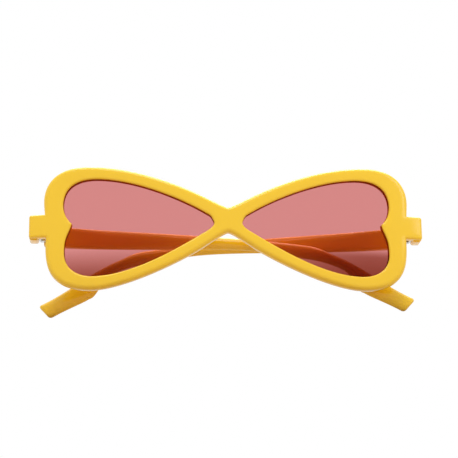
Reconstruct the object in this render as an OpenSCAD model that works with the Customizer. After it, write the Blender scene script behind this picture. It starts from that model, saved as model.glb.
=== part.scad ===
// Heart shaped sunglasses, as worn: +Z up, the face looks along -Y, temples stored folded behind it.
// The origin is the middle of the bridge's underside, where the glasses sit on the nose.

/* [Front] */
// Width across the two end pieces
front_w = 148; // [130:1:160]
// How far an end piece stands out past the rim
end_out = 5.5; // [3:0.1:9]
// Height of the rims, lowest point to highest
rim_h = 47.3; // [41:0.1:55]
// Thickness of the front, face to back
front_t = 3.6; // [3:0.1:5]
// Radius of the bow that the face follows from side to side
bow_r = 300; // [220:5:500]
// Rounding of the rim's outer edge on the face
face_edge_r = 1.5; // [0.6:0.05:1.8]
// Rounding of the rim's outer edge on the back
back_edge_r = 0.7; // [0.3:0.05:1.4]
// Rounding of the edges around a lens
lens_edge_r = 0.6; // [0.2:0.05:0.7]
// How far the moulded nose rests stand out of the back
nose_rest_out = 2.2; // [0:0.1:4]

/* [Lens openings] */
// Width of the rim's plastic at its outermost point
rim_side_w = 7.25; // [5:0.05:9]
// Height of an opening
open_h = 37.5; // [32:0.05:44]
// Distance between the tips of the two openings, across the bridge
tip_gap = 10.7; // [8:0.1:20]
// Depth of the lens groove
groove_depth = 1; // [0.6:0.05:1.4]
// Width of the lens groove
groove_w = 2; // [1.4:0.05:2.4]
// Depth of the groove's middle below the face
groove_mid = 1.75; // [1.4:0.05:2.6]

/* [Lenses] */
// Thickness of a lens
lens_t = 1.8; // [1.2:0.05:2.2]
// Room around the edge of a lens in its groove
lens_clear = 0.12; // [0.05:0.01:0.2]

/* [End pieces] */
// Height of an end piece
end_h = 8.8; // [7:0.1:11]
// Rounding of an end piece's corners
end_corner_r = 0.9; // [0.4:0.05:2]
// Rounding of an end piece's edge on the face
end_edge_r = 0.8; // [0.3:0.05:0.9]
// Width of the block that turns back from an end piece
block_w = 3.5; // [3:0.1:4.5]
// Step from the end piece in to the block's sides
block_step = 0.12; // [0.05:0.01:0.4]
// How far the block's underside hangs below the end piece
block_drop = 0.4; // [0:0.05:0.8]
// Rounding of the block's long edges
block_corner_r = 1; // [0.4:0.05:1.2]
// Distance from the face of an end piece back to the hinge axis
hinge_out = 7.23; // [6:0.01:9]

/* [Temples] */
// Length of a temple, hinge axis to tip, measured straight
temple_l = 140.5; // [125:0.5:150]
// Thickness of a temple at the hinge
temple_root_t = 3.5; // [3:0.1:4.5]
// Thickness of a temple at its ear end
temple_ear_t = 3.2; // [2.4:0.1:4]
// Rounding of a temple's tip
tip_r = 1.2; // [0.6:0.1:2]
// Angle that the inner temple folds past parallel, in degrees
inner_fold_angle = -1.3; // [-2:0.1:1]
// Angle that the outer temple stays short of parallel, in degrees
outer_fold_angle = 3.8; // [3.4:0.1:6]
// Room between a temple's butt and the block it opens against
butt_gap = 0.25; // [0.2:0.01:0.5]

/* [Hinges] */
// Outer radius of a hinge knuckle
knuckle_r = 1.3; // [1.1:0.05:1.5]
// Height of the whole hinge
hinge_h = 6.2; // [5:0.1:7]
// Height of the middle knuckle
middle_h = 1.9; // [1.4:0.1:2.6]
// Room above and below the middle knuckle
knuckle_gap = 0.1; // [0.05:0.01:0.2]
// Thickness of a hinge leaf
leaf_t = 0.8; // [0.6:0.05:1.1]
// Length of the leaf on the front, from the hinge axis
front_leaf_l = 4.3; // [3.8:0.1:4.6]
// Length of the leaf on the temple, from the hinge axis
temple_leaf_l = 7.2; // [6:0.1:9]
// Room between a leaf and the other leaf's knuckles
leaf_gap = 0.15; // [0.1:0.01:0.3]
// Room between a knuckle and the plastic beside it
knuckle_room = 0.2; // [0.1:0.05:0.4]
// Radius of the hinge screw's shank
pivot_r = 0.6; // [0.5:0.05:0.75]
// Running clearance of the middle knuckle on the screw, on the radius
pivot_run = 0.04; // [0.02:0.01:0.08]
// Clearance of the outer knuckles on the screw, on the radius
pivot_fit = 0.02; // [0.01:0.01:0.05]
// Radius of the hinge screw's head
pivot_head_r = 1.1; // [0.9:0.05:1.3]
// Height of the hinge screw's head
pivot_head_h = 0.5; // [0.3:0.05:0.8]
// Width of the slot in a screw head
slot_w = 0.3; // [0.2:0.05:0.4]

/* [Fixing screws] */
// Radius of a fixing screw's shank
fix_r = 0.45; // [0.35:0.05:0.6]
// Clearance of a fixing screw in plastic and leaf, on the radius
fix_clear = 0.02; // [0.01:0.01:0.05]
// Radius of a fixing screw's head
fix_head_r = 0.85; // [0.7:0.05:1.1]
// Height of a fixing screw's head
fix_head_h = 0.35; // [0.2:0.05:0.5]
// Length of a fixing screw in the plastic
fix_l = 2.3; // [1.6:0.1:2.6]
// Room past the end of a fixing screw
fix_end = 0.2; // [0.1:0.05:0.4]
// Room from a screw head on the front's leaf to the end of the leaf
fix_margin = 0.55; // [0.2:0.05:0.8]
// Distance between the two screws on the temple's leaf
temple_fix_pitch = 2.6; // [2.2:0.1:3.2]

/* [Hidden] */
$fn = 48;
// overrun of every cut past the face it opens
past = 0.5;

// An outline is a list of nodes: x share, height share, heading in, handle in, handle out, heading out.
// Shares of the opening's width (x, handles) and height, from its tip, clockwise seen from the front.
open_shares = [
  [0, -0.002, 68.5, 0.033, 0.05, 68.5],
  [0.051, 0.087, 31.9, 0.031, 0.156, 31.9],
  [0.756, 0.461, 4.5, 0.266, 0.134, 4.5],
  [1, 0.228, -86, 0.129, 0.072, -86],
  [0.942, 0.013, -138.8, 0.037, 0.065, -79.9],
  [0.99, -0.302, -92.6, 0.13, 0.084, -92.6],
  [0.794, -0.535, -179.4, 0.123, 0.261, -179.4],
  [0.067, -0.115, 148.4, 0.195, 0.03, 148.4],
];
// Shares of the rim's reach (x, handles) and height; the last node is the bridge's underside.
top_shares = [
  [0, 0.1175, 0, 0.018, 0.017, 0],
  [0.154, 0.2235, 26.4, 0.074, 0.126, 26.4],
  [0.768, 0.4755, 1.9, 0.249, 0.161, 1.9],
  [1, 0.172, -95, 0.132, 0.02, -95],
];
low_shares = [
  [0.984, -0.267, -98.6, 0.06, 0.107, -98.6],
  [0.772, -0.527, -173.5, 0.132, 0.185, -173.5],
  [0.139, -0.208, 146.8, 0.138, 0.035, 146.8],
  [0, -0.0858, 180, 0.02, 0, 180],
];
// Where the end piece leaves the rim, as shares of the rim's reach
end_root_top_share = 0.9948;
end_root_low_share = 0.987;
// Middle of the end pieces above the rims' middle, and of the hinges below it, as shares of the rims' height
end_mid_share = 0.0032;
hinge_drop_share = 0.0127;
// Handles of the end piece's outline, as a share of the rim's reach, and of a rounded corner, of its radius
end_handle_share = 0.01;
arc_handle_share = 0.552;
// Shares of a temple's length: along, height, heading in, handle in, handle out, heading out.
temple_top_shares = [
  [0.0009, 0.022, -4.3, 0, 0.223, -4.3],
  [0.707, -0.033, -7.6, 0.222, 0.04, -7.6],
  [0.7807, -0.0585, -22.8, 0.024, 0.094, -22.8],
  [0.9912, -0.1807, -25.6, 0.091, 0, -25.6],
];
temple_low_shares = [
  [0.0009, -0.0339, -5.2, 0, 0.2, -5.2],
  [0.56, -0.047, -4.5, 0.14, 0.05, -4.5],
  [0.712, -0.071, -8, 0.05, 0.045, -8],
  [0.8124, -0.1049, -38.5, 0.015, 0.023, -38.5],
  [0.8443, -0.1521, -52.6, 0.02, 0.018, -52.6],
  [0.8662, -0.1683, -31.7, 0.013, 0.017, -31.7],
  [0.9597, -0.2149, -29.7, 0.041, 0, -29.7],
];
// Pairs of places on the opening and on the rim's outline that one rim section joins, and the steps to the next pair.
rim_knot_shares = [
  [0.5, 0, 4], [1, 0.55, 15], [2, 1.9, 13], [3, 3, 4], [3.5, 4, 2], [3.72, 5, 3], [3.78, 6, 1],
  [4, 6.5, 1], [4.2, 7, 3], [4.26, 8, 2], [4.45, 9, 5], [5, 10, 13], [6, 11, 15], [7, 12.3, 4],
  [7.5, 13, 6], [8.5, 14, 0],
];
temple_knot_shares = [
  [0, 0, 8], [0.79, 1, 3], [1, 2, 6], [2.03, 3, 5], [2.44, 4, 4], [2.55, 5, 6], [3, 6, 0],
];
// Middle and half length of a nose rest along the opening's edge, as shares of its nodes
nose_rest_at_share = 6.86;
nose_rest_half_share = 0.19;
// Squareness of a temple's section: small is boxy, one is an ellipse
root_round_share = 0.3;
ear_round_share = 0.8;

function bow(x) = bow_r - sqrt(bow_r * bow_r - x * x);
half_w = front_w / 2;
rim_reach = half_w - end_out;
open_w = rim_reach - rim_side_w - tip_gap / 2;
mid_z = -low_shares[3][1] * rim_h;
hinge_z = mid_z - hinge_drop_share * rim_h;
axis_y = bow(half_w) + hinge_out - front_t / 2;
block_out = half_w - block_step;
block_in = block_out - block_w;
axis_x = block_in - knuckle_r - knuckle_room;
temple_off = knuckle_r + knuckle_room + temple_root_t / 2;
leaf_in = knuckle_r + knuckle_room - leaf_t;
front_fix_pitch = hinge_h - 2 * (fix_head_r + fix_margin);
outer_h = (hinge_h - middle_h) / 2 - knuckle_gap;
fix_front_at = -(knuckle_r + leaf_gap + front_leaf_l) / 2;

function node_in(n, w, h, x0, z0) =
  [x0 + n[0] * w, z0 + n[1] * h, n[2], n[3] * w, n[4] * w, n[5]];
open_nodes = [for (n = open_shares) node_in(n, open_w, open_h, tip_gap / 2, mid_z)];
end_z = mid_z + end_mid_share * rim_h;
e_top = end_z + end_h / 2;
e_low = end_z - end_h / 2;
e_hand = end_handle_share * rim_reach;
c_hand = arc_handle_share * end_corner_r;
outer_nodes = concat(
  [for (n = top_shares) node_in(n, rim_reach, rim_h, 0, mid_z)],
  [
    [end_root_top_share * rim_reach, e_top, -95, e_hand, e_hand, 0],
    [half_w - end_corner_r, e_top, 0, e_hand, c_hand, 0],
    [half_w, e_top - end_corner_r, -90, c_hand, e_hand, -90],
    [half_w, e_low + end_corner_r, -90, e_hand, c_hand, -90],
    [half_w - end_corner_r, e_low, 180, c_hand, e_hand, 180],
    [end_root_low_share * rim_reach, e_low, 180, e_hand, e_hand, -92],
  ],
  [for (n = low_shares) node_in(n, rim_reach, rim_h, 0, mid_z)]
);
last_outer = len(outer_nodes) - 1;

function unit(v) = v / norm(v);
function cubic(a, b, c, d, s) =
  pow(1 - s, 3) * a + 3 * pow(1 - s, 2) * s * b + 3 * (1 - s) * s * s * c + pow(s, 3) * d;
function slope(a, b, c, d, s) =
  pow(1 - s, 2) * (b - a) + 2 * (1 - s) * s * (c - b) + s * s * (d - c);
function corners(p, q) = [
  [p[0], p[1]],
  [p[0], p[1]] + p[4] * [cos(p[5]), sin(p[5])],
  [q[0], q[1]] - q[3] * [cos(q[2]), sin(q[2])],
  [q[0], q[1]],
];
// A path's place at v nodes from its start; closed paths wrap round.
function place(nodes, v) =
  let (n = len(nodes), i = floor(v), k = corners(nodes[i % n], nodes[(i + 1) % n]))
  v == i ? k[0] : cubic(k[0], k[1], k[2], k[3], v - i);
function leaving(nodes, v) =
  let (n = len(nodes), i = floor(v), k = corners(nodes[i % n], nodes[(i + 1) % n]), s = max(v - i, 0.001))
  unit(slope(k[0], k[1], k[2], k[3], s));
function arriving(nodes, v) =
  let (n = len(nodes), i = ceil(v) - 1, k = corners(nodes[(i + n) % n], nodes[(i + 1) % n]), s = min(v - i, 0.999))
  unit(slope(k[0], k[1], k[2], k[3], s));
// The left-hand normal at v, long enough that an offset along it keeps its distance from both sides of a corner.
function outward(nodes, v, first, last) =
  let (
    a = first ? leaving(nodes, v) : arriving(nodes, v),
    b = last ? arriving(nodes, v) : leaving(nodes, v),
    m = unit(a + b)
  )
  [-m[1], m[0]] / (m * b);

// The face's rounding along the outline, less round the end pieces.
function edge_r(v) = end_edge_r + (face_edge_r - end_edge_r) * min(1, max(0, 4 - v, v - 9));
// Rim sections: [opening place, outline place].
function between(knots) = [
  for (i = [0:len(knots) - 2], j = [0:knots[i][2] - 1])
    let (s = j / knots[i][2], a = knots[i], b = knots[i + 1])
    [a[0] + s * (b[0] - a[0]), a[1] + s * (b[1] - a[1])]
];
rim_at = between(rim_knot_shares);
rim_n = len(rim_at);
section_n = 16;
lean = 1 - cos(45);

function rest_bump(u) =
  let (s = (u - nose_rest_at_share) / nose_rest_half_share)
  abs(s) > 1 ? 0 : pow(cos(90 * s), 2);
function in_opening(u) = u >= 8 ? u - 8 : u;
// Depths into the material and from the face for each point of a section.
function inner_point(u, depth, y) =
  let (v = in_opening(u), p = place(open_nodes, v), q = p + depth * outward(open_nodes, v == 0 ? 8 : v, false, false))
  [q[0], bow(q[0]) + y - front_t / 2, q[1]];
function outer_point(v, depth, y) =
  let (
    p = place(outer_nodes, v),
    q = p - depth * outward(outer_nodes, v, v == 0, v == last_outer),
    x = v == 0 || v == last_outer ? 0 : q[0]
  )
  [x, bow(x) + y - front_t / 2, q[1]];
function seam_point(v, y) =
  let (
    top = outer_nodes[0][1] - face_edge_r,
    low = outer_nodes[last_outer][1] + face_edge_r,
    s = v - last_outer
  )
  [0, y - front_t / 2, low + s * (top - low)];
function on_seam(v) = v > last_outer;
function section(u, v) =
  let (
    f = edge_r(v), b = back_edge_r, r = lens_edge_r, t = front_t + nose_rest_out * rest_bump(u),
    g0 = groove_mid - groove_w / 2, g1 = groove_mid + groove_w / 2
  )
  concat(
    [inner_point(u, 0, r), inner_point(u, lean * r, lean * r), inner_point(u, r, 0)],
    on_seam(v)
      ? [for (y = [0, 0, 0, front_t, front_t, front_t]) seam_point(v, y)]
      : [
          outer_point(v, f, 0), outer_point(v, lean * f, lean * f), outer_point(v, 0, f),
          outer_point(v, 0, front_t - b), outer_point(v, lean * b, front_t - lean * b), outer_point(v, b, front_t),
        ],
    [inner_point(u, r, t), inner_point(u, lean * r, t - lean * r), inner_point(u, 0, t - r)],
    [
      inner_point(u, 0, g1), inner_point(u, groove_depth, g1),
      inner_point(u, groove_depth, g0), inner_point(u, 0, g0),
    ]
  );
function shared(i, k) = (rim_at[i][1] == 0 || rim_at[i][1] >= last_outer) && k >= 3 && k <= 8;
function rim_id(side, i, k) =
  let (a = i % rim_n, b = k % section_n)
  !shared(a, b) ? (side * rim_n + a) * section_n + b
  : on_seam(rim_at[a][1]) ? a * section_n + (b < 6 ? 3 : 8)
  : a * section_n + b;
function rim_quad(side, i, k) =
  let (
    a = rim_id(side, i, k), b = rim_id(side, i, k + 1),
    c = rim_id(side, i + 1, k + 1), d = rim_id(side, i + 1, k)
  )
  side == 0 ? [[a, b, c], [a, c, d]] : [[c, b, a], [d, c, a]];

// Both rims, the bridge and the end pieces as one body: sections joined right round each opening.
module rims() {
  half = [for (a = rim_at) each section(a[0], a[1])];
  other = [for (p = half) [-p[0], p[1], p[2]]];
  skin = [
    for (side = [0, 1], i = [0:rim_n - 1], k = [0:section_n - 1])
      if (!(shared(i, k) && shared((i + 1) % rim_n, k) && k < 8))
        each rim_quad(side, i, k)
  ];
  polyhedron(points = concat(half, other), faces = skin, convexity = 10);
}

// Everything at a side is drawn for the wearer's right, at -X, and mirrored for the left.
module at_side(side) {
  if (side == "right") {
    children();
  } else {
    mirror([1, 0, 0]) children();
  }
}

module at_hinge() {
  translate([-axis_x, axis_y, hinge_z]) children();
}

module rounded_bar(x0, x1, z0, z1, r, y0, y1) {
  translate([0, y1, 0])
    rotate([90, 0, 0])
      linear_extrude(y1 - y0) {
        translate([x0 + r, z0]) square([x1 - x0 - 2 * r, z1 - z0]);
        translate([x0, z0 + r]) square([x1 - x0, z1 - z0 - 2 * r]);
        for (x = [x0 + r, x1 - r], z = [z0 + r, z1 - r]) {
          translate([x, z]) circle(r);
        }
      }
}

// The block that turns back from the end piece and carries the hinge, starting inside the end piece.
module block() {
  y0 = bow(block_in) + front_t / 4;
  rounded_bar(
    -block_out, -block_in, e_low - block_drop, e_top - block_step,
    block_corner_r, y0, axis_y - butt_gap / 2
  );
}

module fixing_hole(pitch) {
  for (z = [-pitch / 2, pitch / 2]) {
    translate([0, 0, z])
      rotate([0, -90, 0])
        translate([0, 0, -past])
          cylinder(r = fix_r + fix_clear, h = fix_l + fix_end + past);
  }
}

module front_frame() {
  color([0.95, 0.78, 0.27])
    difference() {
      union() {
        rims();
        for (side = ["right", "left"]) at_side(side) block();
      }
      for (side = ["right", "left"]) {
        at_side(side)
          at_hinge()
            translate([axis_x - block_in, fix_front_at, 0])
              fixing_hole(front_fix_pitch);
      }
    }
}

// A lens: the heart outline grown into the groove, cut to the front's bow.
lens_edge = groove_depth - lens_clear;
lens_at = [for (a = rim_at) a[0]];
lens_outline = [
  for (u = lens_at)
    let (v = in_opening(u), p = place(open_nodes, v))
    p + lens_edge * outward(open_nodes, v == 0 ? 8 : v, false, false)
];

module bowed_column(y) {
  translate([0, bow_r + y, -open_h])
    cylinder(r = bow_r, h = 3 * open_h, $fn = 720);
}

module lens(side) {
  color([0.85, 0.45, 0.45, 0.45])
    at_side(side == "right" ? "left" : "right")
      difference() {
        intersection() {
          translate([0, open_h, 0])
            rotate([90, 0, 0])
              linear_extrude(2 * open_h)
                polygon(lens_outline);
          bowed_column(groove_mid - lens_t / 2 - front_t / 2);
        }
        bowed_column(groove_mid + lens_t / 2 - front_t / 2);
      }
}

module right_lens() {
  lens("right");
}

module left_lens() {
  lens("left");
}

// A temple, drawn along +X from the hinge axis with its inner side towards -Y.
function temple_node(n) = [n[0] * temple_l, mid_z + n[1] * temple_l, n[2], n[3] * temple_l, n[4] * temple_l, n[5]];
top_nodes = [for (n = temple_top_shares) temple_node(n)];
low_nodes = [for (n = temple_low_shares) temple_node(n)];
// Sections: [place on the top edge, place on the bottom edge, degrees round the tip].
temple_at = concat(
  [for (at = between(temple_knot_shares)) [at[0], at[1], 0]],
  [for (turn = [0, 30, 60, 85]) [len(top_nodes) - 1, len(low_nodes) - 1, turn]]
);
temple_n = len(temple_at);
function powered(c, e) = sign(c) * pow(abs(c), e);
function onward(nodes, v) = v < len(nodes) - 1 ? leaving(nodes, v) : arriving(nodes, v);
function temple_section(at) =
  let (
    top = place(top_nodes, at[0]), low = place(low_nodes, at[1]),
    along = unit(onward(top_nodes, at[0]) + onward(low_nodes, at[1])),
    mid = (top + low) / 2 + tip_r * sin(at[2]) * along,
    up = (top - low) / 2 - unit(top - low) * tip_r * (1 - cos(at[2])),
    s = min(1, mid[0] / temple_l),
    t = temple_root_t + s * (temple_ear_t - temple_root_t),
    half = t / 2 - tip_r * (1 - cos(at[2])),
    e = root_round_share + (ear_round_share - root_round_share) * min(1, 3 * s)
  )
  [
    for (k = [0:section_n - 1])
      let (a = 360 * k / section_n, q = mid + powered(sin(a), e) * up)
      [q[0], temple_off + half * powered(cos(a), e) - (temple_root_t - t) / 2, q[1] - hinge_z]
  ];

module temple_bar() {
  points = [for (at = temple_at) each temple_section(at)];
  skin = concat(
    [
      for (i = [0:temple_n - 2], k = [0:section_n - 1])
        let (
          a = i * section_n + k, b = i * section_n + (k + 1) % section_n,
          c = b + section_n, d = a + section_n
        )
        each [[a, b, c], [a, c, d]]
    ],
    [for (k = [1:section_n - 2]) [0, k + 1, k]],
    [for (k = [1:section_n - 2]) [0, k, k + 1] + (temple_n - 1) * section_n * [1, 1, 1]]
  );
  polyhedron(points = points, faces = skin, convexity = 4);
}

module folded(side) {
  at_side(side)
    at_hinge()
      rotate([0, 0, side == "right" ? inner_fold_angle : outer_fold_angle])
        children();
}

module temple(side) {
  color([0.95, 0.76, 0.24])
    folded(side)
      difference() {
        temple_bar();
        temple_fix_holes();
      }
}

fix_temple_at = temple_leaf_l - fix_head_r - leaf_gap;

module temple_fix_holes() {
  for (x = [fix_temple_at, fix_temple_at - temple_fix_pitch]) {
    translate([x, knuckle_r + knuckle_room - past, 0])
      rotate([-90, 0, 0])
        cylinder(r = fix_r + fix_clear, h = past + fix_l + fix_end);
  }
}

module right_temple() {
  temple("right");
}

module left_temple() {
  temple("left");
}

// The leaf on the block: a plate and the two outer knuckles, round the hinge axis.
module knuckle(z0, h, bore) {
  translate([0, 0, z0])
    difference() {
      cylinder(r = knuckle_r, h = h);
      translate([0, 0, -past])
        cylinder(r = bore, h = h + 2 * past);
    }
}

module front_leaf(side) {
  plate_top = -(knuckle_r + leaf_gap);
  color([0.78, 0.79, 0.8])
    at_side(side)
      at_hinge()
        difference() {
          union() {
            translate([-leaf_in - leaf_t, -front_leaf_l, -hinge_h / 2])
              cube([leaf_t, front_leaf_l + plate_top, hinge_h]);
            for (z = [-hinge_h / 2, hinge_h / 2 - outer_h]) {
              translate([-leaf_in - leaf_t + knuckle_room, -front_leaf_l / 2, z])
                cube([leaf_t - knuckle_room, front_leaf_l / 2, outer_h]);
              translate([0, 0, z])
                cylinder(r = knuckle_r, h = outer_h);
            }
          }
          translate([0, 0, -hinge_h / 2 - past])
            cylinder(r = pivot_r + pivot_fit, h = hinge_h + 2 * past);
          translate([axis_x - block_in + leaf_t + past, fix_front_at, 0])
            for (z = [-front_fix_pitch / 2, front_fix_pitch / 2]) {
              translate([0, 0, z])
                rotate([0, -90, 0])
                  cylinder(r = fix_r + fix_clear, h = leaf_t + 2 * past);
            }
        }
}

module right_front_leaf() {
  front_leaf("right");
}

module left_front_leaf() {
  front_leaf("left");
}

module temple_leaf(side) {
  color([0.74, 0.75, 0.77])
    folded(side)
      difference() {
        union() {
          translate([knuckle_r + leaf_gap, leaf_in, -hinge_h / 2])
            cube([temple_leaf_l - knuckle_r - leaf_gap, leaf_t, hinge_h]);
          translate([0, leaf_in, -middle_h / 2])
            cube([temple_leaf_l / 2, leaf_t - knuckle_room, middle_h]);
          translate([0, 0, -middle_h / 2])
            cylinder(r = knuckle_r, h = middle_h);
        }
        translate([0, 0, -hinge_h / 2])
          cylinder(r = pivot_r + pivot_run, h = hinge_h);
        for (x = [fix_temple_at, fix_temple_at - temple_fix_pitch]) {
          translate([x, leaf_in - past, 0])
            rotate([-90, 0, 0])
              cylinder(r = fix_r + fix_clear, h = leaf_t + 2 * past);
        }
      }
}

module right_temple_leaf() {
  temple_leaf("right");
}

module left_temple_leaf() {
  temple_leaf("left");
}

// The screw that the hinge turns on: head above, shank down through all three knuckles.
module hinge_screw(side) {
  color([0.7, 0.7, 0.72])
    at_side(side)
      at_hinge()
        difference() {
          union() {
            translate([0, 0, -hinge_h / 2])
              cylinder(r = pivot_r, h = hinge_h + pivot_head_h / 2);
            translate([0, 0, hinge_h / 2])
              cylinder(r = pivot_head_r, h = pivot_head_h);
          }
          translate([-pivot_head_r - past, -slot_w / 2, hinge_h / 2 + pivot_head_h / 2])
            cube([2 * (pivot_head_r + past), slot_w, pivot_head_h]);
        }
}

module right_hinge_screw() {
  hinge_screw("right");
}

module left_hinge_screw() {
  hinge_screw("left");
}

// A small fixing screw pointing along +Z, its head's underside at the origin.
module fixing_screw() {
  difference() {
    union() {
      translate([0, 0, -fix_head_h])
        cylinder(r = fix_head_r, h = fix_head_h);
      translate([0, 0, -fix_head_h / 2])
        cylinder(r = fix_r, h = fix_head_h / 2 + leaf_t + fix_l);
    }
    translate([-fix_head_r - past, -slot_w / 2, -fix_head_h - past])
      cube([2 * (fix_head_r + past), slot_w, past + fix_head_h / 2]);
  }
}

module front_leaf_screws(side) {
  color([0.66, 0.66, 0.68])
    at_side(side)
      at_hinge()
        for (z = [-front_fix_pitch / 2, front_fix_pitch / 2]) {
          translate([-leaf_in, fix_front_at, z])
            rotate([0, -90, 0])
              fixing_screw();
        }
}

module right_front_leaf_screws() {
  front_leaf_screws("right");
}

module left_front_leaf_screws() {
  front_leaf_screws("left");
}

module temple_leaf_screws(side) {
  color([0.66, 0.66, 0.68])
    folded(side)
      for (x = [fix_temple_at, fix_temple_at - temple_fix_pitch]) {
        translate([x, leaf_in, 0])
          rotate([-90, 0, 0])
            fixing_screw();
      }
}

module right_temple_leaf_screws() {
  temple_leaf_screws("right");
}

module left_temple_leaf_screws() {
  temple_leaf_screws("left");
}

front_frame();
right_lens();
left_lens();
right_temple();
left_temple();
right_front_leaf();
left_front_leaf();
right_temple_leaf();
left_temple_leaf();
right_hinge_screw();
left_hinge_screw();
right_front_leaf_screws();
left_front_leaf_screws();
right_temple_leaf_screws();
left_temple_leaf_screws();
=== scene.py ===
"""Heart shaped sunglasses, folded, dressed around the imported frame.

+Z is up as worn, the face looks along -Y, and +X is the wearer's left. The origin is the middle of the
bridge's underside. The camera's distance, the stage and the lamps are in metres. The glasses are in
millimetres, which MM turns into metres, and the scales of noises are per metre. The file follows the
glasses as they are put together.
"""

import math

import bmesh
import bpy
import numpy as np
from mathutils import Matrix, Vector


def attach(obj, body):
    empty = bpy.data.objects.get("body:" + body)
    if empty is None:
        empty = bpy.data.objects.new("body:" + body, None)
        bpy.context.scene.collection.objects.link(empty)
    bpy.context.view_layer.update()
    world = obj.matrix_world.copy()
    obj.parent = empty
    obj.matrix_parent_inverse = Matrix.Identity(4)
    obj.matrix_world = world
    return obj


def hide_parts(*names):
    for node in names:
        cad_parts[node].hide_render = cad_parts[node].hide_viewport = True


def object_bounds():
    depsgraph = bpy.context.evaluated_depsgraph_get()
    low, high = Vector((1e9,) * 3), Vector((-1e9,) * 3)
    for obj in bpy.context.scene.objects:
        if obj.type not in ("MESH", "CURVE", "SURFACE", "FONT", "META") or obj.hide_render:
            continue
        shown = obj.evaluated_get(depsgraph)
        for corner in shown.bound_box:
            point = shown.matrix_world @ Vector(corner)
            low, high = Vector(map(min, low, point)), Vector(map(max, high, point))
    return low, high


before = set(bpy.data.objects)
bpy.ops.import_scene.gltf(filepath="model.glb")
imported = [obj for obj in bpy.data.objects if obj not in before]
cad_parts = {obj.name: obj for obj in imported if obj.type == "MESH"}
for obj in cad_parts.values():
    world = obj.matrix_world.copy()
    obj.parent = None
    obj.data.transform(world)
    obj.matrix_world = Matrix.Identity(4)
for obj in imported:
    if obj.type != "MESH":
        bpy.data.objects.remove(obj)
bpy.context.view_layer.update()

# Camera.
# The photograph looks at the folded glasses from a little below the middle of the face, slightly from
# the wearer's right, with a long lens and a touch of roll.
MM = 0.001
camera_target = Vector((0.17, -1.8, 0.948)) * MM
camera_azimuth = math.radians(-3.67)
camera_elevation = math.radians(-16.0)
camera_roll = math.radians(0.73)
camera_distance = 0.6
camera_lens_mm = 127.56
camera_sensor_mm = 36.0

level_right = Vector((math.cos(camera_azimuth), math.sin(camera_azimuth), 0.0))
level_back = Vector((level_right.y, -level_right.x, 0.0))
camera_back = level_back * math.cos(camera_elevation) + Vector((0.0, 0.0, math.sin(camera_elevation)))
level_up = camera_back.cross(level_right)
camera_right = level_right * math.cos(camera_roll) - level_up * math.sin(camera_roll)
camera_up = level_right * math.sin(camera_roll) + level_up * math.cos(camera_roll)
camera_place = camera_target + camera_back * camera_distance
camera_data = bpy.data.cameras.new("camera")
camera_data.lens = camera_lens_mm
camera_data.sensor_width = camera_sensor_mm
camera_data.clip_start = 0.01
camera_data.clip_end = 20.0
camera = bpy.data.objects.new("camera", camera_data)
bpy.context.scene.collection.objects.link(camera)
camera.matrix_world = Matrix(
    (
        (camera_right.x, camera_up.x, camera_back.x, camera_place.x),
        (camera_right.y, camera_up.y, camera_back.y, camera_place.y),
        (camera_right.z, camera_up.z, camera_back.z, camera_place.z),
        (0.0, 0.0, 0.0, 1.0),
    )
)
bpy.context.scene.camera = camera
bpy.context.scene.view_settings.view_transform = "Standard"

# Stage and light.
# A pale table top under the glasses, opaque only from above, a white surround, and soft studio light
# from high in front and from above. To the eye the table is white. What it gives back is weak and warm.
table_size = 3.0
table_gap = 0.0004
table_colour = (0.3, 0.3, 0.3)
table_bounce = (0.5, 0.4, 0.265)
glow_from, glow_full = 0.2, 0.6
near_glow, far_glow = 0.52, 0.67
surround = 0.7
surround_rise = 0.36
overhead_from, overhead_full = 0.75, 0.95
overhead_gain = 1.8
white_colour = (1.0, 1.0, 1.0)


class Wire:
    """A node's socket that can be added, multiplied and so on: each sign adds the Math node it needs."""

    def __init__(self, tree, socket):
        self.tree = tree
        self.socket = socket

    def _math(self, operation, first, second):
        return add_node(self.tree, "ShaderNodeMath", {"operation": operation}, **{"0": first, "1": second})[0]

    def __add__(self, other):
        return self._math("ADD", self, other)

    def __radd__(self, other):
        return self._math("ADD", other, self)

    def __sub__(self, other):
        return self._math("SUBTRACT", self, other)

    def __rsub__(self, other):
        return self._math("SUBTRACT", other, self)

    def __mul__(self, other):
        return self._math("MULTIPLY", self, other)

    def __rmul__(self, other):
        return self._math("MULTIPLY", other, self)

    def __truediv__(self, other):
        return self._math("DIVIDE", self, other)

    def __rtruediv__(self, other):
        return self._math("DIVIDE", other, self)


def put(tree, socket, value):
    """Links a Wire to a socket, or gives the socket a plain value. A colour of three gets its alpha."""
    if isinstance(value, Wire):
        tree.links.new(value.socket, socket)
    elif isinstance(value, (tuple, list)) and len(value) == 3 and socket.type == "RGBA":
        socket.default_value = (*value, 1.0)
    else:
        socket.default_value = value


def add_node(tree, kind, settings=None, **inputs):
    """Adds a node: its settings first, then its sockets by name or number. Returns its outputs by both."""
    node = tree.nodes.new(kind)
    for name, value in (settings or {}).items():
        setattr(node, name, value)
    for name, value in inputs.items():
        key = int(name) if name.isdigit() else name.replace("_", " ")
        put(tree, node.inputs[key], value)
    return {key: Wire(tree, out) for number, out in enumerate(node.outputs) for key in (number, out.name)}


def new_finish(name):
    """An empty material and its tree, which show() ends."""
    finish = bpy.data.materials.new(name)
    finish.use_nodes = True
    tree = finish.node_tree
    tree.nodes.clear()
    tree.nodes.new("ShaderNodeOutputMaterial")
    return finish, tree


def show(tree, shader):
    out = next(n for n in tree.nodes if n.type == "OUTPUT_MATERIAL")
    tree.links.new(shader.socket, out.inputs["Surface"])


def rays(tree):
    """Whether a ray comes from the camera, from a mirror-like surface or through glass."""
    path = add_node(tree, "ShaderNodeLightPath")
    return path["Is Camera Ray"], path["Is Glossy Ray"], path["Is Transmission Ray"]


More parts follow.
